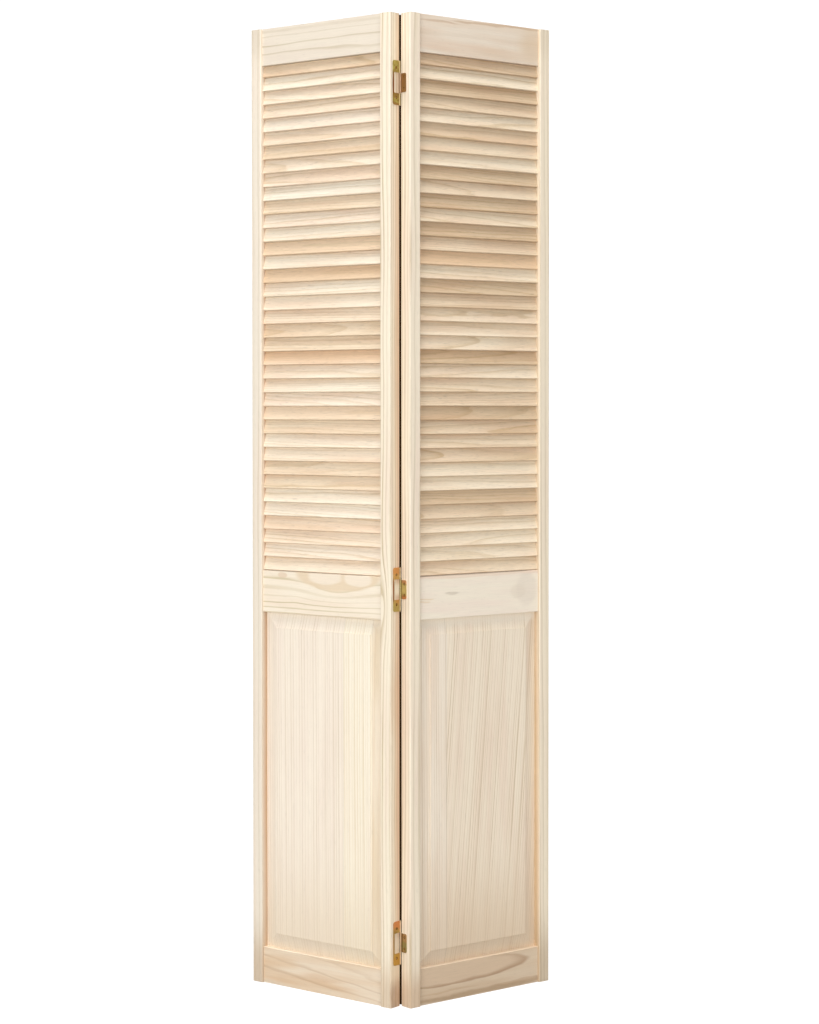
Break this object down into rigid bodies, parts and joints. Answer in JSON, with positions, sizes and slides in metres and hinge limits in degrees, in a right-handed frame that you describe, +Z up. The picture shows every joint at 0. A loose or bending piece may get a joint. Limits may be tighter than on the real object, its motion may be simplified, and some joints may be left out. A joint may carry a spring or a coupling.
{
  "type": "bifold closet door",
  "caption": "Bifold closet door of bare pine: hinged leaves with fixed louvres above a raised panel, folding under a top track on end pivots.",
  "frame": {"origin": "bottom centre of the door's bounding box in its half-folded rest position, on the level of the door's foot", "axes": "+Z up the door, +X to the right as seen from the room, +Y into the closet; the folded hinge edges point to the room (-Y)"},
  "size_m": [0.6222, 0.2556, 1.997],
  "materials": {
    "stile_pine": "bare pine, planed and sanded",
    "rail_pine": "bare pine, planed and sanded",
    "slat_pine": "bare pine, planed and sanded",
    "panel_pine": "bare pine, edge-glued strips, sanded",
    "hinge_brass": "brass-plated steel, bright",
    "pin_brass": "brass-plated steel rod"
  },
  "bodies": {
    "left_leaf": {"left_outer_stile": "stile_pine", "left_hinge_stile": "stile_pine", "left_top_rail": "rail_pine", "left_mid_rail": "rail_pine", "left_bottom_rail": "rail_pine", "left_raised_panel": "panel_pine", "left_louvre_slats": "slat_pine", "top_hinge_outer_plate": "hinge_brass", "top_hinge_pin": "pin_brass", "mid_hinge_outer_plate": "hinge_brass", "mid_hinge_pin": "pin_brass", "bottom_hinge_outer_plate": "hinge_brass", "bottom_hinge_pin": "pin_brass"},
    "right_leaf": {"right_outer_stile": "stile_pine", "right_hinge_stile": "stile_pine", "right_top_rail": "rail_pine", "right_mid_rail": "rail_pine", "right_bottom_rail": "rail_pine", "right_raised_panel": "panel_pine", "right_louvre_slats": "slat_pine", "top_hinge_inner_plate": "hinge_brass", "mid_hinge_inner_plate": "hinge_brass", "bottom_hinge_inner_plate": "hinge_brass"}
  },
  "joints": [
    {"name": "fold", "type": "hinge", "parent": "left_leaf", "child": "right_leaf", "pos_m": [0, -0.10513, 0.9985], "axis": [0, 0, 1], "range_deg": [-77.48, 102.5]}
  ]
}
